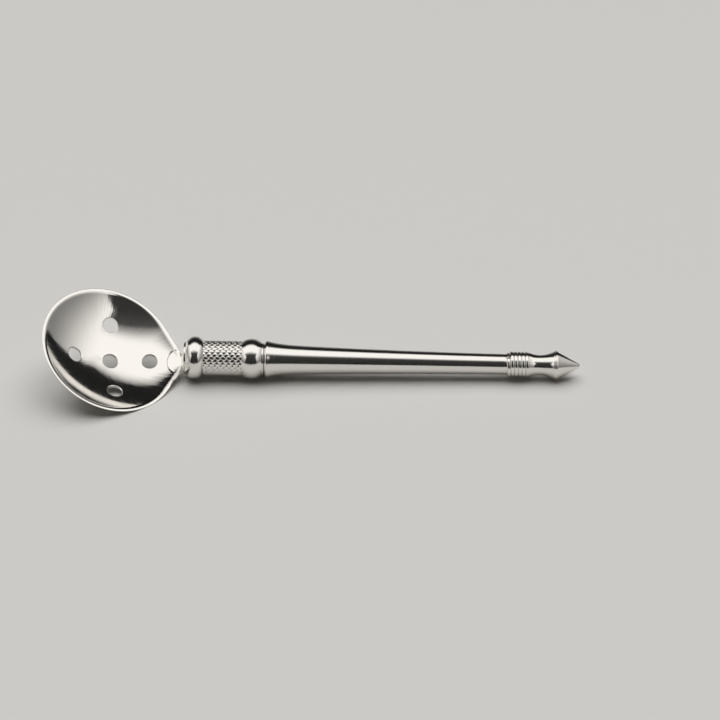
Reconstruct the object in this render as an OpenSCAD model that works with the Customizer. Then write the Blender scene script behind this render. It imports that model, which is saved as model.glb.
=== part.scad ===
// Olive spoon: a pressed and drilled bowl, soldered to a solid cast handle.
// Millimetres. The spoon lies as it comes to rest: on its first collar, on the ridge of its
// finial and on the outside of its bowl, rolled over towards the front.

/* [Bowl] */
// Radius of the round part of the rim, to its outer corner
rim_r = 23.6; // [18:0.1:30]
// How far the straight edge at the neck lies beyond the round part of the rim
neck_out = 1.7; // [0.6:0.1:8]
// Half the width of the straight edge at the neck
neck_half_w = 3.9; // [2.5:0.1:5]
// Depth of the outside of the bowl below its rim
bowl_depth = 7.8; // [5:0.1:14]
// Thickness of the bowl's wall
bowl_wall = 0.7; // [0.5:0.05:1.6]

/* [Drain holes] */
// Diameter of a drain hole
drain_d = 5.0; // [3:0.1:7]
// From the rim in to the middle of the holes that lie in a ring
drain_margin = 10.8; // [8:0.1:15]
// How far the middle hole lies from the centre of the rim, towards the neck
drain_shift = 2.7; // [-2:0.1:4]
// How far the cross of holes is turned from the bowl's own centre line
drain_turn = 2.5; // [-10:0.5:10]
// Number of holes in the ring round the middle one
drain_count = 4; // [3:1:6]
// Width of the softened edge at the inside of a hole
drain_soft = 0.25; // [0:0.05:0.5]

/* [Set of the bowl] */
// How steeply the rim climbs from the neck to the far lip
bowl_tilt = 23.0; // [10:0.5:35]
// How far the bowl swings sideways from the line of the handle
bowl_swing = 4.4; // [-8:0.2:8]
// How far the neck's edge lies below the middle of the handle
neck_drop = 2.8; // [1:0.1:4]
// Radius of the half-round tongue that the handle sends into the bowl's wall
tongue_r = 4.8; // [3.5:0.1:6]
// Width of the solder line between the tongue and the bowl
solder_gap = 0.08; // [0.03:0.01:0.2]

/* [Front of the handle] */
// Radius of the domed flange that the bowl is soldered to
flange_r = 5.3; // [4:0.05:6]
// How far the dome of the flange stands out
flange_dome = 1.1; // [0.5:0.1:2]
// Thickness of the round edge of the flange
flange_edge = 0.7; // [0.5:0.1:1.5]
// Radius of the first collar, which the spoon rests on
collar_r = 7.27; // [6.5:0.05:9]
// Radius of the round section of the first collar
collar_round = 3.5; // [2.5:0.1:4.5]
// Radius of the second collar
collar2_r = 6.85; // [6:0.05:9]
// Radius of the round section of the second collar
collar2_round = 5.5; // [4:0.1:7]

/* [Woven band] */
// Length of the woven band
weave_len = 12.8; // [6:0.1:20]
// Radius over the tops of the strands
weave_r = 5.85; // [5:0.05:7]
// How far a strand stands out of the band
weave_relief = 0.6; // [0.2:0.05:0.9]
// Strands that run each way round the band
weave_strands = 16; // [10:1:20]
// How far a strand climbs along the handle in one turn
weave_lead = 31; // [20:1:50]

/* [Shank] */
// Length of the smooth shank, from its head to its small step
shank_len = 80.8; // [50:0.1:120]
// Radius of the bead at the head of the shank
shank_head_r = 6.28; // [5.5:0.02:7.5]
// Radius of the shank just behind its flared head
shank_root_r = 5.15; // [4:0.05:6.2]
// Radius of the shank at its thin end
shank_tip_r = 3.5; // [2.5:0.05:4]
// Length over which the flare of the head dies away
flare_len = 3.8; // [2:0.1:8]
// Length of the narrow ring between the second collar and the shank
gorge_len = 1.0; // [0.6:0.1:2]

/* [Wire winding] */
// Length of the winding
wire_len = 7.0; // [4:0.1:12]
// Radius over the turns of wire
wire_r = 4.35; // [3.8:0.05:5.5]
// Distance from one turn of wire to the next
wire_pitch = 1.27; // [0.9:0.01:2]
// How far a turn of wire stands out
wire_relief = 0.3; // [0.1:0.05:0.5]

/* [Finial] */
// Length of the waisted neck of the finial
waist_len = 8.4; // [5:0.1:12]
// Radius at the narrowest place of the waist
waist_r = 3.4; // [2.5:0.05:4]
// Radius of the hollow curve of the waist
waist_round = 9.0; // [7:0.1:14]
// How far the narrowest place lies from the winding
waist_at = 3.7; // [2.5:0.1:5]
// Radius of the sharp ridge, which the spoon rests on
ridge_r = 4.92; // [4.5:0.02:6.5]
// Width of the ridge
ridge_w = 0.5; // [0.3:0.1:1.2]
// Length of the pointed cone
point_len = 8.0; // [4:0.1:12]
// Radius of the blunt end of the point
point_round = 0.8; // [0.4:0.05:1.2]

/* [Hidden] */
$fn = 96;
far = 400;

// From the centre of the round part of the rim to the straight edge at the neck
neck_reach = rim_r + neck_out;
// The outside of the bowl is a sphere, and the neck is a cone that touches it
bowl_ball = (rim_r * rim_r + bowl_depth * bowl_depth) / (2 * bowl_depth);
ball_up = bowl_ball - bowl_depth;
// Half angle of the two straight sides of the egg-pointed rim
side_angle = asin(rim_r / norm([neck_reach, neck_half_w])) - atan2(neck_half_w, neck_reach);
apex_x = rim_r / sin(side_angle);
apex_dist = norm([apex_x, ball_up]);
apex_lean = atan2(apex_x, ball_up);
cone_half = asin(bowl_ball / apex_dist);
// The cone runs just inside the ball where they meet, so their surfaces cross cleanly
crease = 0.05;
// The cone stops a little short of its apex, beyond the place where the neck is cut
apex_share = 0.12;
apex_trim = (apex_x - neck_reach) * apex_share;

// From the middle hole to each hole of the ring
drain_ring_r = rim_r - drain_margin;

// Places along the handle, counted from the neck's edge
dome_x = 0.15;
flange_x = dome_x + flange_dome;
dome_ball = (flange_r * flange_r + flange_dome * flange_dome) / (2 * flange_dome);
collar_mid_r = collar_r - collar_round;
// How far the edge of the flange is sunk into the first collar
edge_sunk = 0.42;
collar_x = flange_x + flange_edge / 2 + collar_round - edge_sunk;
core_r = weave_r - weave_relief;
weave_x = collar_x + sqrt(pow(collar_round, 2) - pow(weave_r - collar_mid_r, 2));
weave_end = weave_x + weave_len;
// The band and the core under it run on into the collars, and the core lies under the strands
weave_lap = 0.3;
core_lap = 0.5;
under_core = 0.5;
collar2_mid_r = collar2_r - collar2_round;
collar2_half = sqrt(pow(collar2_round, 2) - pow(weave_r - collar2_mid_r, 2));
collar2_x = weave_end + collar2_half;
gorge_x = collar2_x + collar2_half;
// The narrow ring: how far it lies below the band's strands, and the radius of its bead
gorge_sunk = 0.25;
gorge_r = weave_r - gorge_sunk;
gorge_bead = 0.45;
gorge_lap = 0.1;
shank_x = gorge_x + gorge_len;
head_round = 1.2;
head_x = shank_x + head_round;
shank_end = head_x + shank_len - head_round;
// The taper of the shank is drawn in steps that start short and grow
shank_steps = 26;
step_growth = 1.7;
taper_power = 1.6;
// The small step before the winding is a little thinner than the core of the winding
step_len = 1.0;
step_under = 0.05;
step_r = wire_r - wire_relief - step_under;
wire_x = shank_end + step_len / 2;
wire_end = wire_x + wire_len;
waist_x = wire_end + waist_at;
waist_end = wire_end + waist_len;
// The waist ends in a bead and a notch before the ridge, and both are lower than the ridge
notch_len = 0.3;
notch_depth = 0.3;
bead_under = 0.15;
ridge_x = waist_end + notch_len;
ridge_end = ridge_x + ridge_w;
point_end = ridge_end + point_len;
point_slope = atan2(ridge_r - point_round, point_len - point_round);

// Radius of the smooth shank at the distance d behind its head
function shank_r(d) =
    let (s = min(1, d / (shank_end - head_x)))
    shank_tip_r + (shank_root_r - shank_tip_r) * pow(1 - s, taper_power)
    + (shank_head_r - shank_root_r) * exp(-d / flare_len);

// Rest on the floor: the pitch from the collar and the ridge, the roll from the bowl
seat_dx = ridge_end - collar_x;
seat_dr = ridge_r - collar_mid_r;
rest_pitch = asin(collar_round / norm([seat_dx, seat_dr])) - atan2(seat_dr, seat_dx);
rest_lift = collar_x * sin(rest_pitch) + collar_mid_r * cos(rest_pitch) + collar_round;

// A point of the bowl, from the rim's centre to the frame of the handle
function turn_y(v, a) = [v.x * cos(a) + v.z * sin(a), v.y, v.z * cos(a) - v.x * sin(a)];
function turn_x(v, a) = [v.x, v.y * cos(a) - v.z * sin(a), v.y * sin(a) + v.z * cos(a)];
function turn_z(v, a) = [v.x * cos(a) - v.y * sin(a), v.x * sin(a) + v.y * cos(a), v.z];
function on_handle(v) =
    turn_y(turn_z(v - [neck_reach, 0, 0], bowl_swing), bowl_tilt) - [0, 0, neck_drop];
ball_mid = on_handle([0, 0, ball_up]);
rest_height = (bowl_ball - rest_lift + ball_mid.x * sin(rest_pitch)) / cos(rest_pitch);
rest_roll = acos(rest_height / norm([ball_mid.y, ball_mid.z])) + atan2(ball_mid.y, ball_mid.z);

// The origin lies on the floor, under the middle of the spoon's box
function at_rest(v) = turn_y(turn_x(v, rest_roll), rest_pitch);
rim_mid = at_rest(on_handle([0, 0, 0]));
rim_up = at_rest(turn_y([0, 0, 1], bowl_tilt));
lip_x = rim_mid.x - rim_r * sqrt(1 - pow(rim_up.x, 2));
tip_x = (point_end - point_round) * cos(rest_pitch) + point_round;
box_x = (lip_x + tip_x) / 2;
box_y = rim_mid.y;

module on_floor() {
    translate([-box_x, -box_y, rest_lift])
        rotate([rest_roll, rest_pitch, 0])
            children();
}

module bowl_place() {
    translate([0, 0, -neck_drop])
        rotate([0, bowl_tilt, 0])
            rotate([0, 0, bowl_swing])
                translate([-neck_reach, 0, 0])
                    children();
}

// A sphere drawn out to a point: a ball of radius r with a cone that touches it
module teardrop(r) {
    apex = r / sin(cone_half);
    translate([0, 0, ball_up])
        rotate([0, 180 - apex_lean, 0])
            rotate_extrude() {
                intersection() {
                    circle(r = r);
                    translate([0, -r])
                        square([r, 2 * r]);
                }
                polygon([
                    [0, 0],
                    [(r - crease) * cos(cone_half), (r - crease) * sin(cone_half)],
                    [apex_trim * tan(cone_half), apex - apex_trim],
                    [0, apex - apex_trim]
                ]);
            }
}

module below_rim() {
    translate([-far / 2, -far / 2, -far])
        cube([far, far, far]);
}

// The wall of the bowl before its neck is cut and its holes are drilled
module bowl_shell() {
    intersection() {
        difference() {
            teardrop(bowl_ball);
            teardrop(bowl_ball - bowl_wall);
        }
        below_rim();
    }
}

// One hole, drilled square to the wall, with its inner edge softened
module drain(x, y) {
    inner = bowl_ball - bowl_wall;
    hole_r = drain_d / 2;
    above = 0.2;
    below = 1;
    translate([0, 0, ball_up])
        rotate([0, 0, atan2(y, x)])
            rotate([0, 180 - asin(norm([x, y]) / inner), 0])
                rotate_extrude()
                    polygon([
                        [0, inner - 2 * drain_soft - above],
                        [hole_r + 3 * drain_soft + above, inner - 2 * drain_soft - above],
                        [hole_r, inner + drain_soft],
                        [hole_r, bowl_ball + below],
                        [0, bowl_ball + below]
                    ]);
}

module drains() {
    drain(drain_shift, 0);
    for (k = [0 : drain_count - 1]) {
        turn = drain_turn + k * 360 / drain_count;
        drain(drain_shift + drain_ring_r * cos(turn), drain_ring_r * sin(turn));
    }
}

module bowl() {
    color([0.86, 0.86, 0.87])
        on_floor()
            difference() {
                bowl_place()
                    difference() {
                        bowl_shell();
                        drains();
                    }
                translate([0, 0, -far / 2])
                    cylinder(r = tongue_r + solder_gap, h = far);
                translate([0, -far / 2, -far / 2])
                    cube([far, far, far]);
            }
}

// The part of the bowl's wall that belongs to the handle: a half-round tongue
module tongue() {
    intersection() {
        bowl_place()
            bowl_shell();
        translate([0, 0, -far / 2])
            cylinder(r = tongue_r, h = far);
    }
}

// Half section of the plain turned forms: the radius across, the length up
module front_section() {
    intersection() {
        translate([0, dome_x + dome_ball])
            circle(r = dome_ball);
        square([flange_r - flange_edge / 4, flange_x]);
    }
    translate([0, flange_x])
        square([flange_r - flange_edge / 2, collar_x - flange_x]);
    translate([flange_r - flange_edge / 2, flange_x])
        circle(r = flange_edge / 2);
    intersection() {
        translate([collar_mid_r, collar_x])
            circle(r = collar_round);
        translate([0, flange_x])
            square([collar_r, weave_x - flange_x]);
    }
    translate([0, collar_x])
        square([core_r - under_core, weave_end - collar_x + core_lap]);
    intersection() {
        translate([collar2_mid_r, collar2_x])
            circle(r = collar2_round);
        translate([0, weave_end])
            square([collar2_r, gorge_x - weave_end]);
    }
    translate([0, gorge_x - gorge_lap])
        square([gorge_r - gorge_bead, gorge_len + 2 * gorge_lap]);
    translate([gorge_r - gorge_bead, gorge_x + gorge_len / 2])
        circle(r = gorge_bead);
}

module shank_section() {
    steps = [for (k = [0 : shank_steps]) pow(k / shank_steps, step_growth) * (shank_end - head_x)];
    translate([shank_head_r - head_round, head_x])
        circle(r = head_round);
    translate([0, shank_x])
        square([shank_head_r - head_round, head_round]);
    polygon(concat(
        [[0, head_x]],
        [for (d = steps) [shank_r(d), head_x + d]],
        [[step_r, wire_x], [0, wire_x]]
    ));
}

module finial_section() {
    difference() {
        translate([0, wire_end])
            square([ridge_r - bead_under, waist_len]);
        translate([waist_r + waist_round, waist_x])
            circle(r = waist_round);
    }
    translate([0, wire_end])
        square([waist_r, ridge_end - wire_end]);
    translate([0, waist_end])
        square([ridge_r - notch_depth, ridge_x - waist_end]);
    translate([0, ridge_x])
        square([ridge_r, ridge_w]);
    polygon([
        [0, ridge_end],
        [ridge_r, ridge_end],
        [point_round * cos(point_slope), point_end - point_round + point_round * sin(point_slope)],
        [0, point_end - point_round]
    ]);
    intersection() {
        translate([0, point_end - point_round])
            circle(r = point_round);
        translate([0, point_end - 2 * point_round])
            square([point_round, 2 * point_round]);
    }
}

// Outline of a bundle of strands, seen end on: a rounded lobe for each strand
module strand_outline() {
    lobe = [0, 1];
    n = weave_strands * len(lobe);
    polygon([
        for (k = [0 : n - 1])
            (core_r + weave_relief * lobe[k % len(lobe)]) * [cos(k * 360 / n), sin(k * 360 / n)]
    ]);
}

// Woven band: strands that wind one way, laid over strands that wind the other way
module weave() {
    tall = weave_len + 2 * weave_lap;
    turn = 360 * tall / weave_lead;
    translate([0, 0, weave_x - weave_lap])
        resize([0, 0, tall])
            for (side = [-1, 1])
                linear_extrude(height = tall, twist = side * turn, slices = 8, segments = 1)
                    strand_outline();
}

// Wire winding: an offset disc, turned as it rises, leaves one round thread
module winding() {
    turns = wire_len / wire_pitch;
    translate([0, 0, wire_x])
        linear_extrude(height = wire_len, twist = -360 * turns, slices = ceil(turns * 8), segments = 1)
            translate([wire_relief / 2, 0])
                circle(r = wire_r - wire_relief / 2, $fn = 32);
}

module handle() {
    color([0.84, 0.84, 0.85])
        on_floor() {
            rotate([0, 90, 0]) {
                rotate_extrude()
                    front_section();
                rotate_extrude()
                    shank_section();
                rotate_extrude()
                    finial_section();
                weave();
                winding();
            }
            tongue();
        }
}

bowl();
handle();
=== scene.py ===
"""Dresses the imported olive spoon: polished plate, soldered bowl, woven grip and studio light.

The making frame of the spoon has the handle along +X, the neck's edge at x = 0 and +Z out of the
bowl's open side. Every mesh is built there in millimetres, then laid down as the spoon rests.
"""

import logging
import math
from bisect import bisect_left
from dataclasses import dataclass, field
from enum import Enum
from typing import Iterable, Sequence

import bmesh
import bpy
from mathutils import Matrix, Quaternion, Vector
from mathutils.geometry import delaunay_2d_cdt


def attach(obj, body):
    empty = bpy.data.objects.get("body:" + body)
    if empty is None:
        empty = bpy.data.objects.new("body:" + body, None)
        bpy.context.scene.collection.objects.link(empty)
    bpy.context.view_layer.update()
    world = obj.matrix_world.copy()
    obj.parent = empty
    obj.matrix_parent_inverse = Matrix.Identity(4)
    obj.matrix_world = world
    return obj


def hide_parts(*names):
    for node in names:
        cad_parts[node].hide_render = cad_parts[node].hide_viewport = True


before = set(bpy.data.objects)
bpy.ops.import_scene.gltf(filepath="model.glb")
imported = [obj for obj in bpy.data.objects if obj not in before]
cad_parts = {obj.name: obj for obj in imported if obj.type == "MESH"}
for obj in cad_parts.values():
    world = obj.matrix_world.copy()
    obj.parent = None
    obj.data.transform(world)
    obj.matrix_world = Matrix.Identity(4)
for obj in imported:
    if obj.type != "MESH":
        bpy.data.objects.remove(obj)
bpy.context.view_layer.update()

LOG = logging.getLogger("olive_spoon")
MM = 0.001
BODY = "root"
UP = Vector((0, 0, 1))
ALONG = Vector((1, 0, 0))
Profile = list[tuple[float, float]]

# Height of an equal-sided triangle, over its side.
ROW_GAP = 0.866
# A search along a line ends after this many rounds, or once a step is this short.
SEARCH_ROUNDS = 12
SHORT_STEP_MM = 1e-7
# Points nearer than this to an axis lie on it, and points nearer than this to one another are one.
ON_AXIS_MM = 1e-9
MERGE_MM = 1e-4
SAME_SPOT_MM = 1e-6
# Setting of the triangulation that fills only what its edges enclose.
ENCLOSED = 1


class Slot(Enum):
    """Material slots of the record that the pieces take their finish from."""

    BOWL = "bowl_plate"
    HANDLE = "handle_plate"


def linear(hex_colour: str) -> tuple[float, float, float, float]:
    """Turns an sRGB hex colour into Blender's linear colour.

    Args:
        hex_colour: Six hex digits, with or without a leading hash.

    Returns:
        Linear red, green and blue, with an alpha of 1.
    """
    digits = hex_colour.lstrip("#")
    parts = [int(digits[i : i + 2], 16) / 255 for i in (0, 2, 4)]
    lin = [c / 12.92 if c <= 0.04045 else ((c + 0.055) / 1.055) ** 2.4 for c in parts]
    return (lin[0], lin[1], lin[2], 1.0)


def add_node(tree: bpy.types.NodeTree, kind: str, settings: dict | None = None,
             links: dict | None = None) -> bpy.types.Node:
    """Adds one node to a tree.

    Args:
        tree: The node tree.
        kind: The node's type, such as ShaderNodeMath.
        settings: Attributes by name, and socket values by "in:NAME" or "in:INDEX".
        links: Output sockets to link from, by the name or index of the input.

    Returns:
        The new node.
    """
    node = tree.nodes.new(kind)
    for key, value in (settings or {}).items():
        if key.startswith("in:"):
            name = key[3:]
            node.inputs[int(name) if name.isdigit() else name].default_value = value
        else:
            setattr(node, key, value)
    for name, output in (links or {}).items():
        tree.links.new(output, node.inputs[name])
    return node


@dataclass(frozen=True)
class PolishedPlate:
    """Polished silver plate over a cast or pressed blank.

    The plate is neutral and slightly warm. Fine polishing lines, far too thin to be seen singly,
    are drawn about ten times as coarse as they are, so that highlights break up along them.
    """

    name: str
    colour: str = "E9E7E3"
    roughness: float = 0.055
    haze: float = 0.05
    line_mm: float = 0.35
    line_length: float = 12.0
    line_depth_mm: float = 0.0006
    dimple_mm: float = 9.0
    dimple_depth_mm: float = 0.012

    def make(self) -> bpy.types.Material:
        """Builds the node material.

        Returns:
            The finished material.
        """
        material = bpy.data.materials.new(self.name)
        material.use_nodes = True
        tree = material.node_tree
        tree.nodes.clear()
        coords = add_node(tree, "ShaderNodeTexCoord")
        fine = add_node(
            tree, "ShaderNodeTexNoise",
            {"in:Scale": 1.0, "in:Detail": 3.0, "in:Roughness": 0.6},
            {"Vector": self._lines(tree, coords.outputs["Object"])},
        )
        broad = add_node(
            tree, "ShaderNodeTexNoise",
            {"in:Scale": 1.0 / (self.dimple_mm * MM), "in:Detail": 1.0},
            {"Vector": coords.outputs["Object"]},
        )
        rough = add_node(
            tree, "ShaderNodeMapRange",
            {"in:From Min": 0.35, "in:From Max": 0.7, "in:To Min": self.roughness,
             "in:To Max": self.roughness + self.haze},
            {"Value": fine.outputs["Fac"]},
        )
        dimple = add_node(
            tree, "ShaderNodeBump",
            {"in:Strength": 1.0, "in:Distance": self.dimple_depth_mm * MM},
            {"Height": broad.outputs["Fac"]},
        )
        bump = add_node(
            tree, "ShaderNodeBump",
            {"in:Strength": 1.0, "in:Distance": self.line_depth_mm * MM},
            {"Height": fine.outputs["Fac"], "Normal": dimple.outputs["Normal"]},
        )
        shader = add_node(
            tree, "ShaderNodeBsdfPrincipled",
            {"in:Base Color": linear(self.colour), "in:Metallic": 1.0},
            {"Roughness": rough.outputs["Result"], "Normal": bump.outputs["Normal"]},
        )
        add_node(
            tree, "ShaderNodeOutputMaterial", None, {"Surface": shader.outputs["BSDF"]}
        )
        return material

    def _lines(self, tree: bpy.types.NodeTree, spot: bpy.types.NodeSocket) -> bpy.types.NodeSocket:
        """Coordinates of the polishing lines: thin along the handle, long round it.

        Args:
            tree: The material's node tree.
            spot: Object coordinates, in metres.

        Returns:
            The coordinates that the noise reads.
        """
        across = 1.0 / (self.line_mm * MM)
        along = across / self.line_length
        drawn = add_node(
            tree, "ShaderNodeMapping", {"in:Scale": (across, along, along)}, {"Vector": spot}
        )
        return drawn.outputs["Vector"]


@dataclass(frozen=True)
class BuffedPlate(PolishedPlate):
    """Silver plate buffed from the middle of the bowl to its rim.

    The mop leaves faint streaks that fan out from the middle, and they show where what the bowl
    mirrors fades from light to dark.
    """

    haze: float = 0.08
    line_depth_mm: float = 0.02
    place: Matrix = field(default_factory=Matrix)
    streaks: float = 150.0
    streak_mm: float = 60.0

    def _lines(self, tree: bpy.types.NodeTree, spot: bpy.types.NodeSocket) -> bpy.types.NodeSocket:
        """Coordinates of the streaks: thin round the bowl's axis, long away from it.

        Args:
            tree: The material's node tree.
            spot: Object coordinates, in metres.

        Returns:
            The coordinates that the noise reads.
        """
        bowl = add_node(
            tree, "ShaderNodeMapping",
            {"vector_type": "TEXTURE", "in:Location": self.place.translation,
             "in:Rotation": self.place.to_euler(), "in:Scale": (MM, MM, MM)},
            {"Vector": spot},
        )
        flat = add_node(
            tree, "ShaderNodeVectorMath", {"operation": "MULTIPLY", "in:1": (1, 1, 0)},
            {0: bowl.outputs["Vector"]},
        )
        way = add_node(
            tree, "ShaderNodeVectorMath", {"operation": "NORMALIZE"}, {0: flat.outputs["Vector"]}
        )
        reach = add_node(
            tree, "ShaderNodeVectorMath", {"operation": "LENGTH"}, {0: flat.outputs["Vector"]}
        )
        away = add_node(
            tree, "ShaderNodeMath", {"operation": "DIVIDE", "in:1": self.streak_mm},
            {0: reach.outputs["Value"]},
        )
        lift = add_node(tree, "ShaderNodeCombineXYZ", None, {"Z": away.outputs["Value"]})
        turn = self.streaks / math.tau
        fan = add_node(
            tree, "ShaderNodeVectorMath", {"operation": "MULTIPLY_ADD", "in:1": (turn, turn, 0)},
            {0: way.outputs["Vector"], 2: lift.outputs["Vector"]},
        )
        return fan.outputs["Vector"]


@dataclass(frozen=True)
class PalePaper:
    """Matt seamless paper, for the floor: a plain pale surface that keeps the shadow."""

    name: str = "seamless_paper"
    colour: str = "D2D0CC"

    def make(self) -> bpy.types.Material:
        """Builds the paper's material.

        Returns:
            The finished material.
        """
        material = bpy.data.materials.new(self.name)
        material.use_nodes = True
        tree = material.node_tree
        tree.nodes.clear()
        shader = add_node(
            tree, "ShaderNodeBsdfPrincipled",
            {"in:Base Color": linear(self.colour), "in:Roughness": 0.9},
        )
        add_node(
            tree, "ShaderNodeOutputMaterial", None, {"Surface": shader.outputs["BSDF"]}
        )
        return material


@dataclass
class HandleSizes:
    """Sizes of the turned handle, in millimetres, along its own axis."""

    flange_r: float = 5.3
    flange_dome: float = 1.1
    flange_edge: float = 0.7
    edge_sunk: float = 0.42
    dome_x: float = 0.15
    collar_r: float = 7.27
    collar_round: float = 3.5
    collar2_r: float = 6.85
    collar2_round: float = 5.5
    weave_len: float = 12.8
    weave_r: float = 5.85
    weave_lead: float = 31.0
    weave_strands: int = 16
    gorge_len: float = 1.0
    gorge_bead: float = 0.45
    gorge_sink: float = 0.25
    head_round: float = 1.2
    shank_len: float = 80.8
    shank_head_r: float = 6.28
    shank_root_r: float = 5.15
    shank_tip_r: float = 3.5
    taper_power: float = 1.6
    flare_len: float = 3.8
    step_len: float = 1.0
    wire_len: float = 7.0
    wire_r: float = 4.35
    wire_pitch: float = 1.27
    wire_relief: float = 0.3
    waist_len: float = 8.4
    waist_r: float = 3.4
    waist_round: float = 9.0
    waist_at: float = 3.7
    ridge_r: float = 4.92
    ridge_w: float = 0.5
    ridge_after: float = 0.3
    point_len: float = 8.0
    point_round: float = 0.8

    def __post_init__(self) -> None:
        """Works out the places along the handle."""
        self.flange_x = self.dome_x + self.flange_dome
        self.dome_ball = (self.flange_r**2 + self.flange_dome**2) / (2 * self.flange_dome)
        self.collar_mid_r = self.collar_r - self.collar_round
        self.collar_x = self.flange_x + self.flange_edge / 2 + self.collar_round - self.edge_sunk
        fall = math.sqrt(self.collar_round**2 - (self.weave_r - self.collar_mid_r) ** 2)
        self.weave_x = self.collar_x + fall
        self.weave_end = self.weave_x + self.weave_len
        self.collar2_mid_r = self.collar2_r - self.collar2_round
        half = math.sqrt(self.collar2_round**2 - (self.weave_r - self.collar2_mid_r) ** 2)
        self.collar2_x = self.weave_end + half
        self.gorge_x = self.collar2_x + half
        self.gorge_r = self.weave_r - self.gorge_sink
        self.shank_x = self.gorge_x + self.gorge_len
        self.head_x = self.shank_x + self.head_round
        self.shank_end = self.head_x + self.shank_len - self.head_round
        self.wire_x = self.shank_end + self.step_len / 2
        self.wire_end = self.wire_x + self.wire_len
        self.waist_x = self.wire_end + self.waist_at
        self.waist_end = self.wire_end + self.waist_len
        self.ridge_x = self.waist_end + self.ridge_after
        self.ridge_end = self.ridge_x + self.ridge_w
        self.point_end = self.ridge_end + self.point_len

    def shank_r(self, behind_head: float) -> float:
        """Radius of the smooth shank.

        Args:
            behind_head: Distance behind the middle of the shank's head.

        Returns:
            The radius there.
        """
        run = min(1.0, behind_head / (self.shank_end - self.head_x))
        taper = (self.shank_root_r - self.shank_tip_r) * (1 - run) ** self.taper_power
        flare = (self.shank_head_r - self.shank_root_r) * math.exp(-behind_head / self.flare_len)
        return self.shank_tip_r + taper + flare


@dataclass
class BowlSizes:
    """Sizes of the bowl in its own frame: origin at the rim's centre, +X to the neck, +Z up."""

    rim_r: float = 23.6
    neck_out: float = 1.7
    neck_half_w: float = 3.9
    depth: float = 7.8
    wall: float = 0.7
    tilt_deg: float = 23.0
    swing_deg: float = 4.4
    neck_drop: float = 2.8
    tongue_r: float = 4.8
    drain_d: float = 5.0
    drain_margin: float = 10.8
    drain_shift: float = 2.7
    drain_turn_deg: float = 2.5
    drain_count: int = 4

    def __post_init__(self) -> None:
        """Works out the ball, and the cone that touches it and draws the rim out to a point."""
        self.neck_reach = self.rim_r + self.neck_out
        self.drain_ring_r = self.rim_r - self.drain_margin
        self.ball_r = (self.rim_r**2 + self.depth**2) / (2 * self.depth)
        self.ball_mid = Vector((0.0, 0.0, self.ball_r - self.depth))
        side = math.asin(self.rim_r / math.hypot(self.neck_reach, self.neck_half_w))
        side -= math.atan2(self.neck_half_w, self.neck_reach)
        self.apex = Vector((self.rim_r / math.sin(side), 0.0, 0.0))
        self.axis = (self.apex - self.ball_mid).normalized()
        self.cone_sin = self.ball_r / (self.apex - self.ball_mid).length
        self.cone_cos = math.sqrt(1 - self.cone_sin**2)

    def to_handle(self) -> Matrix:
        """Matrix from the bowl's frame to the handle's.

        Returns:
            The matrix, in millimetres.
        """
        return (
            Matrix.Translation((0, 0, -self.neck_drop))
            @ Matrix.Rotation(math.radians(self.tilt_deg), 4, "Y")
            @ Matrix.Rotation(math.radians(self.swing_deg), 4, "Z")
            @ Matrix.Translation((-self.neck_reach, 0, 0))
        )

    def outside(self, point: Vector) -> tuple[float, Vector]:
        """Signed distance of a point from the bowl's outer surface.

        Args:
            point: A point in the bowl's frame.

        Returns:
            The distance, positive outside, and the unit normal there.
        """
        off = point - self.ball_mid
        along = off.dot(self.axis)
        side = off - self.axis * along
        perp = side.length
        if along * self.cone_cos > perp * self.cone_sin and perp > ON_AXIS_MM:
            normal = self.axis * self.cone_sin + side / perp * self.cone_cos
            return along * self.cone_sin + perp * self.cone_cos - self.ball_r, normal
        return off.length - self.ball_r, off.normalized()

    def settle(self, point: Vector, way: Vector, level: float) -> Vector:
        """Moves a point along a line until it lies at a level of the wall.

        Args:
            point: Where the point starts.
            way: Direction of the line.
            level: 0 for the outer surface, minus the wall for the inner one.

        Returns:
            The point on that surface.
        """
        for _ in range(SEARCH_ROUNDS):
            gap, normal = self.outside(point)
            slope = normal.dot(way)
            step = (gap - level) / slope
            point = point - way * step
            if abs(step) < SHORT_STEP_MM:
                break
        return point


class Rest:
    """How the spoon lies: on its first collar, the ridge of its finial and the bowl's outside."""

    def __init__(self, handle: HandleSizes, bowl: BowlSizes) -> None:
        """Works out pitch, roll and place from the sizes.

        Args:
            handle: Sizes of the handle.
            bowl: Sizes of the bowl.
        """
        run = handle.ridge_end - handle.collar_x
        rise = handle.ridge_r - handle.collar_mid_r
        self.pitch = math.asin(handle.collar_round / math.hypot(run, rise)) - math.atan2(rise, run)
        lift = (
            handle.collar_x * math.sin(self.pitch)
            + handle.collar_mid_r * math.cos(self.pitch)
            + handle.collar_round
        )
        ball = bowl.to_handle() @ bowl.ball_mid
        height = (bowl.ball_r - lift + ball.x * math.sin(self.pitch)) / math.cos(self.pitch)
        self.roll = math.acos(height / math.hypot(ball.y, ball.z)) + math.atan2(ball.y, ball.z)
        turn = Matrix.Rotation(self.pitch, 4, "Y") @ Matrix.Rotation(self.roll, 4, "X")
        placed = turn @ bowl.to_handle()
        rim_mid = placed.translation
        rim_up = placed.to_3x3() @ UP
        lip_x = rim_mid.x - bowl.rim_r * math.sqrt(1 - rim_up.x**2)
        tip_x = (handle.point_end - handle.point_round) * math.cos(self.pitch) + handle.point_round
        shift = Matrix.Translation((-(lip_x + tip_x) / 2, -rim_mid.y, lift))
        self.handle_place = Matrix.Scale(MM, 4) @ shift @ turn
        self.bowl_place = self.handle_place @ bowl.to_handle()


def face_outwards(bm: bmesh.types.BMesh) -> None:
    """Turns every face of a closed skin outwards.

    The operator alone can turn a thin shell inside out as a whole, which its volume then shows.

    Args:
        bm: The closed mesh.
    """
    bmesh.ops.recalc_face_normals(bm, faces=bm.faces)
    if bm.calc_volume(signed=True) < 0:
        bmesh.ops.reverse_faces(bm, faces=bm.faces)


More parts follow.
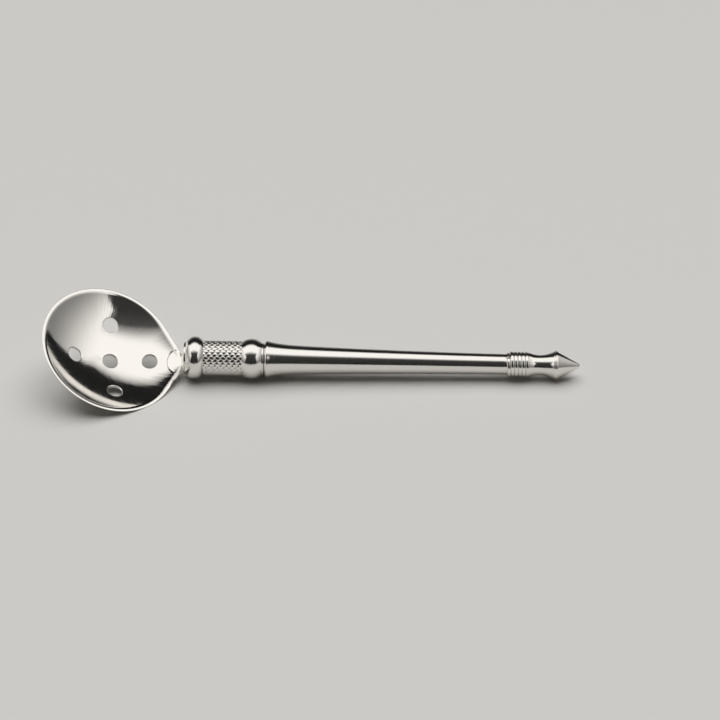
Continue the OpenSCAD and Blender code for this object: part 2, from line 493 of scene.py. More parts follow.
def finish_mesh(bm: bmesh.types.BMesh, name: str, place: Matrix,
                materials: Sequence[bpy.types.Material]) -> bpy.types.Object:
    """Lays a mesh in its place and makes it an object at the origin.

    Args:
        bm: The mesh in its making frame. It is freed.
        name: Name of the piece.
        place: Matrix from the making frame, in millimetres, to the resting place, in metres.
        materials: Materials of the piece, by slot index.

    Returns:
        The new object, smooth shaded.
    """
    bmesh.ops.transform(bm, matrix=place, verts=bm.verts)
    for face in bm.faces:
        face.smooth = True
    mesh = bpy.data.meshes.new(name)
    bm.to_mesh(mesh)
    bm.free()
    for material in materials:
        mesh.materials.append(material)
    piece = bpy.data.objects.new(name, mesh)
    bpy.context.scene.collection.objects.link(piece)
    return piece


def dress(piece: bpy.types.Object, node: str) -> None:
    """Attaches a piece to its body and hides the CAD node that it stands for.

    Args:
        piece: The finished piece.
        node: The CAD node that it replaces.
    """
    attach(piece, BODY)
    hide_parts(node)
    LOG.info("%s: %d faces", piece.name, len(piece.data.polygons))


@dataclass(frozen=True)
class Circle:
    """A circle in a turned profile: place along the axis, distance from it and radius."""

    x: float
    r: float
    radius: float

    def crossing(self, other: "Circle", outer: bool) -> tuple[float, float]:
        """Where two circles cross.

        Args:
            other: The other circle.
            outer: Whether the crossing farther from the axis is meant, or the nearer one.

        Returns:
            The crossing, as distance along the axis and radius.
        """
        gap = math.hypot(other.x - self.x, other.r - self.r)
        way_x, way_r = (other.x - self.x) / gap, (other.r - self.r) / gap
        along = (gap**2 + self.radius**2 - other.radius**2) / (2 * gap)
        aside = math.sqrt(self.radius**2 - along**2) * (1 if (way_x > 0) == outer else -1)
        return (
            self.x + way_x * along - way_r * aside,
            self.r + way_r * along + way_x * aside,
        )

    def bearing(self, point: tuple[float, float]) -> float:
        """Angle of a point on the circle, in degrees from 0 to 360."""
        return math.degrees(math.atan2(point[1] - self.r, point[0] - self.x)) % 360

    def arc(self, start_deg: float, end_deg: float, count: int) -> Profile:
        """Points of an arc of the circle.

        Args:
            start_deg: Angle of the first point: 0 points out along the axis, 90 away from it.
            end_deg: Angle of the last point.
            count: Number of steps.

        Returns:
            The points, as distance along the axis and radius.
        """
        swing = end_deg - start_deg
        turns = [math.radians(start_deg + swing * k / count) for k in range(count + 1)]
        return [
            (self.x + self.radius * math.cos(t), self.r + self.radius * math.sin(t)) for t in turns
        ]


def turned(profile: Profile, steps: int = 160) -> bmesh.types.BMesh:
    """Spins a profile round the handle's axis into a closed skin.

    Args:
        profile: Points along the axis and away from it, from one end to the other.
        steps: Number of steps round the axis.

    Returns:
        The turned mesh, with closed ends and outward normals.
    """
    bm = bmesh.new()
    verts = [bm.verts.new((x, 0.0, max(r, 0.0))) for x, r in profile]
    edges = [bm.edges.new(pair) for pair in zip(verts, verts[1:])]
    bmesh.ops.spin(
        bm, geom=verts + edges, cent=(0, 0, 0), axis=(1, 0, 0),
        angle=math.tau, steps=steps, use_merge=True,
    )
    bmesh.ops.remove_doubles(bm, verts=bm.verts, dist=MERGE_MM)
    rims = [e for e in bm.edges if e.is_boundary]
    if rims:
        bmesh.ops.holes_fill(bm, edges=rims, sides=0)
    face_outwards(bm)
    return bm


def swept(ring: Sequence[tuple[float, float]], stations: Iterable[Matrix]) -> bmesh.types.BMesh:
    """Draws a closed section along a run of places.

    Args:
        ring: Points of the section, in the XY plane of each place.
        stations: The places, one after another.

    Returns:
        The closed tube.
    """
    bm = bmesh.new()
    places = list(stations)
    verts = [bm.verts.new(places[0] @ Vector((x, y, 0))) for x, y in ring]
    edges = [bm.edges.new((a, b)) for a, b in zip(verts, verts[1:] + verts[:1])]
    bm.faces.new(verts)
    for place in places[1:]:
        grown = bmesh.ops.extrude_edge_only(bm, edges=edges)["geom"]
        fresh = {g for g in grown if isinstance(g, bmesh.types.BMVert)}
        verts = [
            next(e.other_vert(v) for e in v.link_edges if e.other_vert(v) in fresh) for v in verts
        ]
        for vert, (x, y) in zip(verts, ring):
            vert.co = place @ Vector((x, y, 0))
        edges = [bm.edges.get((a, b)) for a, b in zip(verts, verts[1:] + verts[:1])]
    bm.faces.new(verts)
    face_outwards(bm)
    return bm


@dataclass
class Handle:
    """The cast handle: turned forms, the woven band and the wire winding.

    Pieces that meet run on into each other by a hidden length, so that no gap shows between them.
    """

    sizes: HandleSizes
    rest: Rest
    finish: PolishedPlate
    strand_half_w: float = 0.66
    strand_half_h: float = 0.34
    strand_square: float = 3.6
    weave_lift: float = 0.12
    weave_flat: float = 3.0
    weave_tuck: float = 0.3
    strand_sides: int = 16
    steps_per_cell: int = 6
    hidden_under_weave: float = 0.9
    hidden_core: float = 1.0
    hidden_collar: float = 0.4
    hidden_ring: float = 0.5
    hidden_wire: float = 0.2
    ring_above_barrel: float = 0.35
    wire_half_h: float = 0.45
    wire_overlap: float = 0.52
    wire_sink: float = 0.3
    wire_sinks_a_turn: float = 6.0
    step_under_wire: float = 0.05
    waist_under_ridge: float = 0.15
    groove_under_ridge: float = 0.3
    groove_slope: float = 0.05
    hidden_finial: float = 0.1
    bead_tuck_deg: float = 20.0
    head_tuck_deg: float = 15.0
    wire_sides: int = 12
    wire_steps_a_turn: int = 48
    edge_steps: int = 20
    collar_steps: int = 60
    bead_steps: int = 18
    head_steps: int = 24
    shank_steps: int = 110
    shank_crowding: float = 1.6
    waist_steps: int = 44
    cone_steps: int = 14
    tip_steps: int = 12
    wire_core_steps: int = 64
    material: bpy.types.Material | None = None

    def build(self) -> list[bpy.types.Object]:
        """Makes every piece of the handle.

        Returns:
            The pieces, in order along the handle.
        """
        self.material = self.finish.make()
        forms = [
            ("front_collar", turned(self._front())),
            ("grip_core", turned(self._core())),
            ("woven_strands", self._strands()),
            ("second_collar", turned(self._second_collar())),
            ("shank", turned(self._shank())),
            ("wire_winding", self._winding()),
            ("finial", turned(self._finial())),
        ]
        return [self._piece(name, bm) for name, bm in forms]

    def dress(self, pieces: Iterable[bpy.types.Object]) -> None:
        for piece in pieces:
            dress(piece, "handle")

    def _piece(self, name: str, bm: bmesh.types.BMesh) -> bpy.types.Object:
        """Finishes one mesh of the handle."""
        return finish_mesh(bm, name, self.rest.handle_place, [self.material])

    def _front(self) -> Profile:
        """Profile of the domed flange, its edge and the first collar.

        Returns:
            The points, from the dome's middle to the weave.
        """
        s = self.sizes
        dome = Circle(s.dome_x + s.dome_ball, 0.0, s.dome_ball)
        edge = Circle(s.flange_x, s.flange_r - s.flange_edge / 2, s.flange_edge / 2)
        collar = Circle(s.collar_x, s.collar_mid_r, s.collar_round)
        brim = dome.crossing(edge, outer=False)
        groove = edge.crossing(collar, outer=True)
        low = s.weave_r - self.hidden_under_weave - collar.r
        end = math.degrees(math.asin(low / collar.radius))
        return (
            dome.arc(180, dome.bearing(brim), self.edge_steps)
            + edge.arc(edge.bearing(brim), edge.bearing(groove), self.edge_steps)[1:]
            + collar.arc(collar.bearing(groove), end, self.collar_steps)[1:]
            + [(s.weave_x + self.hidden_collar, 0.0)]
        )

    def _core(self) -> Profile:
        """Profile of the plain core under the woven band.

        Returns:
            The points, from the first collar to the second.
        """
        s = self.sizes
        r = s.weave_r - 2 * self.strand_half_h
        first, last = s.weave_x - self.hidden_core, s.weave_end + self.hidden_core
        return [(first, 0.0), (first, r), (last, r), (last, 0.0)]

    def _strands(self) -> bmesh.types.BMesh:
        """The woven strands: one of each hand, then repeated round the axis.

        Returns:
            All strands, each a closed skin.
        """
        s = self.sizes
        cell = s.weave_lead / (2 * s.weave_strands)
        first = s.weave_x - self.weave_tuck
        last = s.weave_end + self.weave_tuck
        count = round((last - first) / cell * self.steps_per_cell)
        mid_r = s.weave_r - self.strand_half_h - self.weave_lift
        section = [
            (self.strand_half_w * self._squared(math.cos(turn), self.strand_square),
             self.strand_half_h * self._squared(math.sin(turn), self.strand_square))
            for turn in (math.tau * k / self.strand_sides for k in range(self.strand_sides))
        ]
        whole = bmesh.new()
        for hand in (1, -1):
            places = []
            # Each strand rises over one crossing and dips under the next.
            for k in range(count + 1):
                x = first + (last - first) * k / count
                turn = hand * math.tau * (x - s.weave_x) / s.weave_lead
                wave = self._squared(math.cos(math.pi * (x - s.weave_x) / cell), self.weave_flat)
                r = mid_r + hand * self.weave_lift * wave
                out = Vector((0, math.sin(turn), math.cos(turn)))
                round_way = Vector((0, math.cos(turn), -math.sin(turn))) * hand
                along = (ALONG * s.weave_lead + round_way * math.tau * r).normalized()
                side = along.cross(out)
                axes = Matrix((side, out, along)).transposed().to_4x4()
                places.append(Matrix.Translation(Vector((x, 0, 0)) + out * r) @ axes)
            one = swept(section, places)
            strand = bpy.data.meshes.new("strand")
            one.to_mesh(strand)
            one.free()
            for k in range(s.weave_strands):
                before = len(whole.verts)
                whole.from_mesh(strand)
                whole.verts.ensure_lookup_table()
                bmesh.ops.rotate(
                    whole, verts=whole.verts[before:], cent=(0, 0, 0),
                    matrix=Matrix.Rotation(math.tau * k / s.weave_strands, 3, "X"),
                )
            bpy.data.meshes.remove(strand)
        return whole

    def _squared(self, share: float, power: float) -> float:
        """Turns a sine or cosine into one with flat crests, as in a square-shouldered oval."""
        return math.copysign(abs(share) ** (2 / power), share)

    def _second_collar(self) -> Profile:
        """Profile of the second collar and of the narrow ring behind it.

        Returns:
            The points, from the weave to the shank's head.
        """
        s = self.sizes
        low = s.weave_r - self.hidden_under_weave - s.collar2_mid_r
        high = s.weave_r - self.ring_above_barrel - s.collar2_mid_r
        start = 180 - math.degrees(math.asin(low / s.collar2_round))
        end = math.degrees(math.asin(high / s.collar2_round))
        barrel = Circle(s.collar2_x, s.collar2_mid_r, s.collar2_round).arc(
            start, end, self.collar_steps
        )
        bead = Circle(s.gorge_x + s.gorge_len / 2, s.gorge_r - s.gorge_bead, s.gorge_bead)
        ring = bead.arc(180 + self.bead_tuck_deg, -self.bead_tuck_deg, self.bead_steps)
        last = ring[-1][0] + self.hidden_ring
        return [(barrel[0][0], 0.0)] + barrel + ring + [(last, ring[-1][1]), (last, 0.0)]

    def _shank(self) -> Profile:
        """Profile of the shank: rounded head, flare, taper and small step.

        Returns:
            The points, from the head to the winding.
        """
        s = self.sizes
        head_ring = Circle(s.head_x, s.shank_head_r - s.head_round, s.head_round)
        head = head_ring.arc(180 + self.head_tuck_deg, 90, self.head_steps)
        span = s.shank_end - s.head_x
        body = []
        for k in range(1, self.shank_steps + 1):
            d = span * (k / self.shank_steps) ** self.shank_crowding
            body.append((s.head_x + d, s.shank_r(d)))
        step_r = s.wire_r - s.wire_relief - self.step_under_wire
        return [(head[0][0], 0.0)] + head + body + [(s.wire_x, step_r), (s.wire_x, 0.0)]

    def _winding(self) -> bmesh.types.BMesh:
        """The wire winding: one flattened wire laid in turns round a core.

        Its ends sink into the core over a sixth of a turn, so that no cut end shows.

        Returns:
            The wire and the core, each a closed skin.
        """
        s = self.sizes
        turns = s.wire_len / s.wire_pitch
        half_w = s.wire_pitch * self.wire_overlap
        mid_r = s.wire_r - self.wire_half_h
        section = [
            (half_w * math.cos(math.tau * k / self.wire_sides),
             self.wire_half_h * math.sin(math.tau * k / self.wire_sides))
            for k in range(self.wire_sides)
        ]
        count = round(turns * self.wire_steps_a_turn)
        places = []
        for k in range(count + 1):
            turn = math.tau * turns * k / count
            to_end = min(k, count - k) / self.wire_steps_a_turn
            sink = self.wire_sink * max(0.0, 1 - self.wire_sinks_a_turn * to_end)
            out = Vector((0, -math.sin(turn), math.cos(turn)))
            axes = Matrix((ALONG, out, ALONG.cross(out))).transposed().to_4x4()
            run = (s.wire_len - self.hidden_wire) * k / count
            mid = Vector((s.wire_x + self.hidden_wire / 2 + run, 0, 0))
            places.append(Matrix.Translation(mid + out * (mid_r - sink)) @ axes)
        bm = swept(section, places)
        first, last = s.wire_x - self.hidden_wire, s.wire_end + self.hidden_wire
        core = turned(
            [(first, 0.0), (first, mid_r), (last, mid_r), (last, 0.0)], self.wire_core_steps
        )
        joined = bpy.data.meshes.new("core")
        core.to_mesh(joined)
        core.free()
        bm.from_mesh(joined)
        bpy.data.meshes.remove(joined)
        return bm

    def _finial(self) -> Profile:
        """Profile of the finial: waist, ridge, cone and blunt end.

        Returns:
            The points, from the winding to the tip.
        """
        s = self.sizes
        top = s.ridge_r - self.waist_under_ridge
        bend = math.degrees(math.acos((s.waist_end - s.waist_x) / s.waist_round))
        front = math.degrees(math.acos(s.waist_at / s.waist_round))
        hollow = Circle(s.waist_x, s.waist_r + s.waist_round, s.waist_round)
        waist = hollow.arc(180 + front, 360 - bend, self.waist_steps)
        rise = [
            (s.waist_end, min(top, waist[-1][1])),
            (s.ridge_x, s.ridge_r - self.groove_under_ridge),
            (s.ridge_x + self.groove_slope, s.ridge_r),
            (s.ridge_end, s.ridge_r),
        ]
        slope = math.degrees(math.atan2(s.ridge_r - s.point_round, s.point_len - s.point_round))
        tip = Circle(s.point_end - s.point_round, 0.0, s.point_round).arc(
            90 - slope, 0, self.tip_steps
        )
        cone = [
            (s.ridge_end + (tip[0][0] - s.ridge_end) * k / self.cone_steps,
             s.ridge_r + (tip[0][1] - s.ridge_r) * k / self.cone_steps)
            for k in range(1, self.cone_steps)
        ]
        first = s.wire_end - self.hidden_finial
        start = [(first, 0.0), (first, waist[0][1])]
        return start + waist + rise + cone + tip


@dataclass
class Bowl:
    """The pressed bowl: two skins, a rounded rim and softened drain holes.

    Points of a skin are searched for along a line. The fields named "from" say where such a line
    starts, and the fields named "rounds" say how often a search of its own is repeated.
    """

    sizes: BowlSizes
    rest: Rest
    finish: PolishedPlate
    seam_finish: PolishedPlate
    rim_points: int = 420
    neck_points: int = 24
    drain_points: int = 72
    lattice_mm: float = 0.62
    lattice_clear: float = 0.45
    lattice_off_seam: float = 0.6
    seam_clear: float = 0.1
    rim_soft_in: float = 0.5
    rim_soft_out: float = 0.3
    drain_soft_in: float = 0.38
    drain_soft_out: float = 0.16
    soft_steps: int = 7
    solder_w: float = 0.16
    solder_depth: float = 0.035
    solder_step: float = 0.3
    solder_rows: tuple[float, ...] = (-1.0, -0.5, 0.0, 0.5, 1.0)
    pad_lift: float = 0.06
    pad_ramp: float = 1.5
    rim_from: float = 0.98
    neck_from_z: float = -1.0
    drain_from_z: float = -5.0
    skin_from_depth: float = 0.7
    rim_end_from: tuple[float, float] = (0.02, 1.2)
    rim_end_rounds: int = 40
    neck_rounds: int = 20
    over_neck_rounds: int = 8
    seam_rounds: int = 6
    home: Matrix = field(init=False)
    seam_mid: Vector = field(init=False)
    normals: dict[bmesh.types.BMVert, Vector] = field(init=False, default_factory=dict)

    def __post_init__(self) -> None:
        """Finds the neck's cut, and the middle of it on the inner skin."""
        self.home = self.sizes.to_handle()
        self.seam_mid = self._at_neck(0.0, -self.sizes.wall)

    def build(self) -> bpy.types.Object:
        """Makes the bowl as one closed skin.

        Returns:
            The piece.
        """
        bm = bmesh.new()
        inner, outer = -self.sizes.wall, 0.0
        rim_loops = self._rim_loops()
        drain_sets = [self._drain_loops(x, y) for x, y in self._drain_places()]
        rims = [[bm.verts.new(p) for p in loop] for loop in rim_loops]
        drains = [[[bm.verts.new(p) for p in loop] for loop in loops] for loops in drain_sets]
        self._bridge(bm, rims)
        for loops in drains:
            self._bridge(bm, loops)
        self._skin(bm, rims[0], [loops[0] for loops in drains], inner)
        self._skin(bm, rims[-1], [loops[-1] for loops in drains], outer)
        face_outwards(bm)
        bm.verts.index_update()
        # The bowl mirrors the studio, so its skins take the exact normals of ball and cone.
        exact = [self.normals.get(v) for v in bm.verts]
        for face in bm.faces:
            if abs(self._from_seam(face.calc_center_median())) < self.solder_w / 2:
                face.material_index = 1
        materials = [self.finish.make(), self.seam_finish.make()]
        piece = finish_mesh(bm, "bowl_plate", self.rest.bowl_place, materials)
        turn = self.rest.bowl_place.to_3x3().normalized()
        piece.data.normals_split_custom_set_from_vertices(
            [(turn @ n).normalized() if n else Vector((0, 0, 0)) for n in exact]
        )
        return piece

    def dress(self, piece: bpy.types.Object) -> None:
        dress(piece, "bowl")

    def _at_neck(self, y: float, level: float) -> Vector:
        """Point of a skin on the neck's cut.

        Args:
            y: Distance from the bowl's centre line.
            level: The skin's level.

        Returns:
            The point.
        """
        s = self.sizes
        x = s.neck_reach
        for _ in range(self.neck_rounds):
            point = s.settle(Vector((x, y, self.neck_from_z)), UP, level)
            x -= (self.home @ point).x
        return point

    def _rim_point(self, turn: float, level: float, z: float) -> Vector:
        """Point of a skin at a height, in the direction of an angle round the rim's centre.

        Args:
            turn: The angle, from the neck.
            level: The skin's level.
            z: The height over the rim's plane.

        Returns:
            The point.
        """
        way = Vector((math.cos(turn), math.sin(turn), 0))
        start = way * self.sizes.rim_r * self.rim_from + Vector((0, 0, z))
        return self.sizes.settle(start, way, level)

    def _rim_loops(self) -> list[list[Vector]]:
        """Loops of the rim's section, from the inner skin over the rim to the outer skin.

        Returns:
            The loops: round the rim first, then across the neck's cut.
        """
        ends = [self._rim_end(hand) for hand in (1, -1)]
        turns = [
            ends[0] + (math.tau + ends[1] - ends[0]) * k / (self.rim_points - 1)
            for k in range(self.rim_points)
        ]
        sections = [self._rim_section(turn) for turn in turns]
        first, last = sections[0][-1], sections[-1][-1]
        for k in range(1, self.neck_points):
            t = k / self.neck_points
            turn = ends[1] + (ends[0] - ends[1]) * t
            section = self._rim_section(turn)[: self.soft_steps + 1]
            low = self._at_neck(last.y + (first.y - last.y) * t, 0.0)
            top = self._over_neck(low)
            for j in range(self.soft_steps + 1):
                section.append(top.lerp(low, j / self.soft_steps))
            sections.append(section)
        return [list(loop) for loop in zip(*sections)]

    def _rim_end(self, hand: int) -> float:
        """Angle round the rim's centre at which the rim meets the neck's cut.

        Args:
            hand: 1 for the neck's one side, -1 for the other.

        Returns:
            The angle.
        """
        low, high = self.rim_end_from
        for _ in range(self.rim_end_rounds):
            mid = (low + high) / 2
            edge = self._rim_point(hand * mid, 0.0, 0.0)
            if (self.home @ edge).x > 0:
                low = mid
            else:
                high = mid
        return hand * high

    def _over_neck(self, low: Vector) -> Vector:
        """Point of the neck's cut in the rim's plane.

        Args:
            low: The point of the outer skin under it.

        Returns:
            The point.
        """
        top = Vector((low.x, low.y, 0.0))
        for _ in range(self.over_neck_rounds):
            top.x -= (self.home @ top).x
        return top

    def _rim_section(self, turn: float) -> list[Vector]:
        """Section of the rim: inner corner, flat and outer corner.

        Args:
            turn: Angle round the rim's centre, from the neck.

        Returns:
            The points, from the inner skin over the rim to the outer skin.
        """
        s = self.sizes
        low_in = self._rim_point(turn, -s.wall, -self.rim_soft_in)
        top_in = self._rim_point(turn, -s.wall, 0.0)
        top_out = self._rim_point(turn, 0.0, 0.0)
        low_out = self._rim_point(turn, 0.0, -self.rim_soft_out)
        way = Vector((math.cos(turn), math.sin(turn), 0))
        return self._softened(low_in, top_in, top_in + way * self.rim_soft_in) + self._softened(
            top_out - way * self.rim_soft_out, top_out, low_out
        )

    def _softened(self, start: Vector, corner: Vector, end: Vector) -> list[Vector]:
        """Points of a rounded corner between two points."""
        turns = [k / self.soft_steps for k in range(self.soft_steps + 1)]
        return [start * (1 - t) ** 2 + corner * 2 * t * (1 - t) + end * t**2 for t in turns]

    def _drain_places(self) -> list[tuple[float, float]]:
        """Centres of the drain holes, in the plane of the rim.

        Returns:
            The middle hole's centre and those of the ring.
        """
        s = self.sizes
        places = [(s.drain_shift, 0.0)]
        for k in range(s.drain_count):
            turn = math.radians(s.drain_turn_deg) + math.tau * k / s.drain_count
            places.append(
                (s.drain_shift + s.drain_ring_r * math.cos(turn), s.drain_ring_r * math.sin(turn))
            )
        return places

    def _drain_loops(self, x: float, y: float) -> list[list[Vector]]:
        """Loops of one drain hole, from the inner skin through the wall to the outer skin.

        Args:
            x: The hole's centre towards the neck.
            y: The hole's centre to the side.

        Returns:
            The loops.
        """
        s = self.sizes
        centre = s.settle(Vector((x, y, self.drain_from_z)), UP, -s.wall)
        normal = s.outside(centre)[1]
        first = normal.orthogonal().normalized()
        second = normal.cross(first)
        r, soft_in, soft_out = s.drain_d / 2, self.drain_soft_in, self.drain_soft_out
        spots = [
            (r + soft_in, -s.wall), (r, -s.wall), (r, soft_in - s.wall),
            (r, -soft_out), (r, 0.0), (r + soft_out, 0.0),
        ]
        sections = []
        for k in range(self.drain_points):
            turn = math.tau * k / self.drain_points
            way = first * math.cos(turn) + second * math.sin(turn)
            points = [s.settle(centre + way * radius, normal, level) for radius, level in spots]
            sections.append(self._softened(*points[:3]) + self._softened(*points[3:]))
        return [list(loop) for loop in zip(*sections)]

    def _bridge(self, bm: bmesh.types.BMesh, loops: list[list[bmesh.types.BMVert]]) -> None:
        """Joins loops of equal count, one to the next.

        Args:
            bm: The bowl's mesh.
            loops: The loops, in order.
        """
        for low, high in zip(loops, loops[1:]):
            for k in range(len(low)):
                n = (k + 1) % len(low)
                bm.faces.new((low[k], low[n], high[n], high[k]))

    def _skin(self, bm: bmesh.types.BMesh, rim: list[bmesh.types.BMVert],
              drains: list[list[bmesh.types.BMVert]], level: float) -> None:
        """Fills one skin of the bowl between its rim and its drain holes.

        Args:
            bm: The bowl's mesh.
            rim: Vertices of the skin's outer edge.
            drains: Vertices of each hole's edge.
            level: 0 for the outer skin, minus the wall for the inner one.
        """
        s = self.sizes
        verts = list(rim)
        edges = [(k, (k + 1) % len(rim)) for k in range(len(rim))]
        owner = {vert: k for k, loop in enumerate(drains) for vert in loop}
        for loop in drains:
            base = len(verts)
            verts += loop
            edges += [(base + k, base + (k + 1) % len(loop)) for k in range(len(loop))]
        flat = [v.co.xy.copy() for v in verts]
        border = [v.co.xy.copy() for v in rim]
        seam = self._solder_seam(level)
        lattice = self._lattice(drains, seam)
        points = flat + self._inside(border, lattice, self.lattice_clear * self.lattice_mm)
        points += self._inside(border, seam, self.seam_clear)
        filled = delaunay_2d_cdt(points, edges, [], ENCLOSED, SAME_SPOT_MM)
        new_points, _, faces, sources = filled[:4]
        made = []
        for k, source in enumerate(sources):
            if source and source[0] < len(verts):
                made.append(verts[source[0]])
                continue
            spot = new_points[k]
            start = Vector((spot.x, spot.y, -s.depth * self.skin_from_depth))
            point = s.settle(start, UP, level)
            made.append(bm.verts.new(self._soldered(point, level)))
        for face in faces:
            corner = [made[i] for i in face]
            owners = {owner.get(vert, -1) for vert in corner}
            # A face with every corner on the edge of one hole would close that hole.
            if len(owners) == 1 and -1 not in owners:
                continue
            bm.faces.new(corner)
        way = -1.0 if level < 0 else 1.0
        for vert in made:
            if level == 0 or self._from_seam(vert.co) > 2 * self.solder_w:
                self.normals[vert] = s.outside(vert.co)[1] * way

    def _lattice(self, drains: list[list[bmesh.types.BMVert]], seam: list[Vector]) -> list[Vector]:
        """Spots of an even triangular lattice over the bowl, clear of its holes and seam.

        Args:
            drains: Vertices of each hole's edge.
            seam: Spots of the solder seam.

        Returns:
            The spots, in the plane of the rim.
        """
        s = self.sizes
        step = self.lattice_mm
        off_seam = self.lattice_off_seam * step
        holes = []
        for loop in drains:
            mid = sum((v.co for v in loop), Vector()) / len(loop)
            holes.append((mid.xy, max((v.co - mid).xy.length for v in loop)))
        spots = []
        rows = int(2 * s.rim_r / (step * ROW_GAP)) + 2
        cols = int((s.apex.x + s.rim_r) / step) + 2
        for j in range(rows):
            y = -s.rim_r + j * step * ROW_GAP
            for i in range(cols):
                spot = Vector((-s.rim_r + (i + 0.5 * (j % 2)) * step, y))
                near_hole = any(
                    (spot - mid).length < reach + self.lattice_clear * step for mid, reach in holes
                )
                if not near_hole and all((spot - point).length >= off_seam for point in seam):
                    spots.append(spot)
        return spots

    def _from_seam(self, point: Vector) -> float:
        """Distance of a point of the inner skin outside the solder seam, negative within it."""
        return (point - self.seam_mid).length - self.sizes.tongue_r

    def _solder_seam(self, level: float) -> list[Vector]:
        """Spots of the solder seam: rows on and beside its half-round line, in the rim's plane.

        Args:
            level: The skin's level. Only the inner skin shows the seam.

        Returns:
            The spots.
        """
        if level == 0:
            return []
        s = self.sizes
        spots = []
        count = round(math.pi * s.tongue_r / self.solder_step)
        for share in self.solder_rows:
            radius = s.tongue_r + share * self.solder_w
            for k in range(count + 1):
                turn = math.pi * (0.5 + k / count)
                way = Vector((math.cos(turn), math.sin(turn)))
                reach = radius
                for _ in range(self.seam_rounds):
                    spot = self.seam_mid.xy + way * reach
                    point = s.settle(Vector((spot.x, spot.y, self.neck_from_z)), UP, level)
                    reach *= radius / (point - self.seam_mid).length
                spots.append(spot)
        return spots

    def _soldered(self, point: Vector, level: float) -> Vector:
        """Moves a point of the inner skin into the seam's groove, or up onto the filed pad.

        Args:
            point: A point of a skin.
            level: The skin's level. The outer skin stays as it is.

        Returns:
            The point where the soldered bowl has it.
        """
        if level == 0:
            return point
        s = self.sizes
        gap = self._from_seam(point)
        down = s.outside(point)[1]
        groove = self.solder_depth * max(0.0, 1 - (gap / self.solder_w) ** 2)
        lift = 0.0
        if gap < 0:
            from_cut = -(self.home @ point).x
            lift = self.pad_lift * (1 - (1 + gap / s.tongue_r) ** 2)
            lift *= min(1.0, max(0.0, from_cut / self.pad_ramp))
        return point + down * (groove - lift)

    def _inside(self, border: list[Vector], spots: list[Vector], margin: float) -> list[Vector]:
        """Keeps the spots that lie inside a closed border and clear of it.

        Args:
            border: Points of the border, which runs once round the rim's centre.
            spots: The spots to look at.
            margin: How far from the border a spot stays.

        Returns:
            The spots that are kept.
        """
        kept = []
        order = sorted(border, key=lambda p: math.atan2(p.y, p.x))
        angles = [math.atan2(p.y, p.x) for p in order]
        reach = [p.length for p in order]
        for spot in spots:
            turn = math.atan2(spot.y, spot.x)
            k = bisect_left(angles, turn)
            a, b = (k - 1) % len(angles), k % len(angles)
            span = (angles[b] - angles[a]) % math.tau or 1.0
            share = ((turn - angles[a]) % math.tau) / span
            limit = reach[a] + (reach[b] - reach[a]) * min(1.0, share)
            if spot.length < limit - margin:
                kept.append(spot)
        return kept


@dataclass
class SoftBox:
    """One rectangular soft light, which the polished metal mirrors and the paper doesn't show.

    Its brightness is given at stops from the near or lower edge, at 0, to the far or upper one,
    at 1. It is what a perfect mirror would show, where 1 is plain white: an energy of pi times
    the box's area gives that, and the stops then scale it.
    """

    name: str
    place: Vector
    aim: Vector
    width: float
    depth: float
    stops: tuple[tuple[float, float], ...]

    def build(self) -> bpy.types.Object:
        """Makes the light.

        Returns:
            The light's object.
        """
        data = bpy.data.lights.new(self.name, "AREA")
        data.shape = "RECTANGLE"
        data.size, data.size_y = self.width, self.depth
        data.energy = math.pi * self.width * self.depth
        data.use_nodes = True
        tree = data.node_tree
        tree.nodes.clear()
        spot = add_node(tree, "ShaderNodeNewGeometry")
        along = add_node(
            tree, "ShaderNodeSeparateXYZ", None, {"Vector": spot.outputs["Parametric"]}
        )
        fade = add_node(tree, "ShaderNodeValToRGB", None, {"Fac": along.outputs["Y"]})
        ramp = fade.color_ramp
        ramp.interpolation = "EASE"
        while len(ramp.elements) < len(self.stops):
            ramp.elements.new(1.0)
        for element, (share, level) in zip(ramp.elements, self.stops):
            element.position = share
            element.color = (level, level, level, 1.0)
        glow = add_node(
            tree, "ShaderNodeEmission", {"in:Color": linear("FFFDFA")},
            {"Strength": fade.outputs["Color"]},
        )
        add_node(tree, "ShaderNodeOutputLight", None, {"Surface": glow.outputs["Emission"]})
        lamp = bpy.data.objects.new(self.name, data)
        lamp.location = self.place
        lamp.rotation_mode = "QUATERNION"
        lamp.rotation_quaternion = (self.aim - self.place).to_track_quat("-Z", "Y")
        lamp.visible_camera = False
        lamp.visible_diffuse = False
        bpy.context.scene.collection.objects.link(lamp)
        return lamp


@dataclass
class PaperLight:
    """Broad, even light for matt surfaces such as the paper: the metal doesn't mirror it."""

    name: str = "paper_light"
    strength: float = 2.9
    spread_deg: float = 75.0
    lean_deg: float = 12.0

    def build(self) -> bpy.types.Object:
        """Makes the light, which comes from far above and a little from behind the spoon.

        Returns:
            The light's object.
        """
        data = bpy.data.lights.new(self.name, "SUN")
        data.energy = self.strength
        data.angle = math.radians(self.spread_deg)
        lamp = bpy.data.objects.new(self.name, data)
        lamp.rotation_euler = (-math.radians(self.lean_deg), 0.0, 0.0)
        lamp.visible_glossy = False
        bpy.context.scene.collection.objects.link(lamp)
        return lamp


